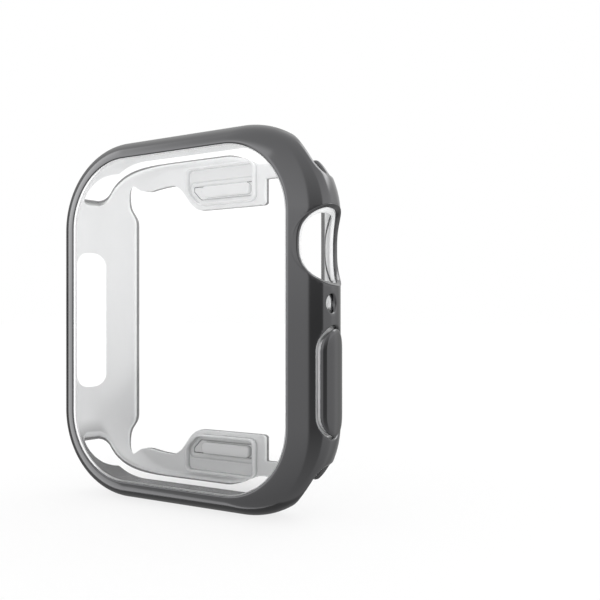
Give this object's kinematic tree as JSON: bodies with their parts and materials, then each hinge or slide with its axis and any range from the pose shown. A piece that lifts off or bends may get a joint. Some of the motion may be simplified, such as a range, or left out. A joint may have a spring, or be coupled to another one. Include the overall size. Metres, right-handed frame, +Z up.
{
  "type": "smartwatch bumper case",
  "caption": "Rounded rectangular smartwatch bumper case: clear moulded body, plated dark grey skin, clear front film, crown hole, flexing side button, open back with flexing release pads.",
  "frame": {"origin": "under the middle of the standing case, on the surface that it stands on", "axes": "+X towards the crown side, +Y towards the open back (the film faces -Y), +Z up along the case's height"},
  "size_m": [0.0403, 0.0107, 0.046],
  "materials": {
    "plated_skin": "plated dark grey, high gloss",
    "clear_moulding": "clear, glossy",
    "clear_film": "clear, polished",
    "thin_web": "clear, thin"
  },
  "bodies": {
    "case_body": {"plated_shell": "plated_skin", "clear_body": "clear_moulding", "screen_film": "clear_film", "crown_hole_lip": "plated_skin", "side_button_web": "thin_web", "top_release_web": "thin_web", "top_pocket_rim": "clear_moulding", "bottom_release_web": "thin_web", "bottom_pocket_rim": "clear_moulding"},
    "side_button": {"side_button_cap": "plated_skin", "side_button_plunger": "clear_moulding"},
    "top_release": {"top_release_pad": "plated_skin", "top_pusher_bar": "clear_moulding"},
    "bottom_release": {"bottom_release_pad": "plated_skin", "bottom_pusher_bar": "clear_moulding"}
  },
  "joints": [
    {"name": "side_button_press", "type": "slide", "parent": "case_body", "child": "side_button", "axis": [-1, 0, 0], "range_m": [0, 0.0004], "stiffness_N_per_m": 2500, "deforming": ["side_button_web"]},
    {"name": "top_release_press", "type": "slide", "parent": "case_body", "child": "top_release", "axis": [0, -1, 0], "range_m": [0, 0.0004], "stiffness_N_per_m": 2500, "deforming": ["top_release_web"]},
    {"name": "bottom_release_press", "type": "slide", "parent": "case_body", "child": "bottom_release", "axis": [0, -1, 0], "range_m": [0, 0.0004], "stiffness_N_per_m": 2500, "deforming": ["bottom_release_web"]}
  ]
}
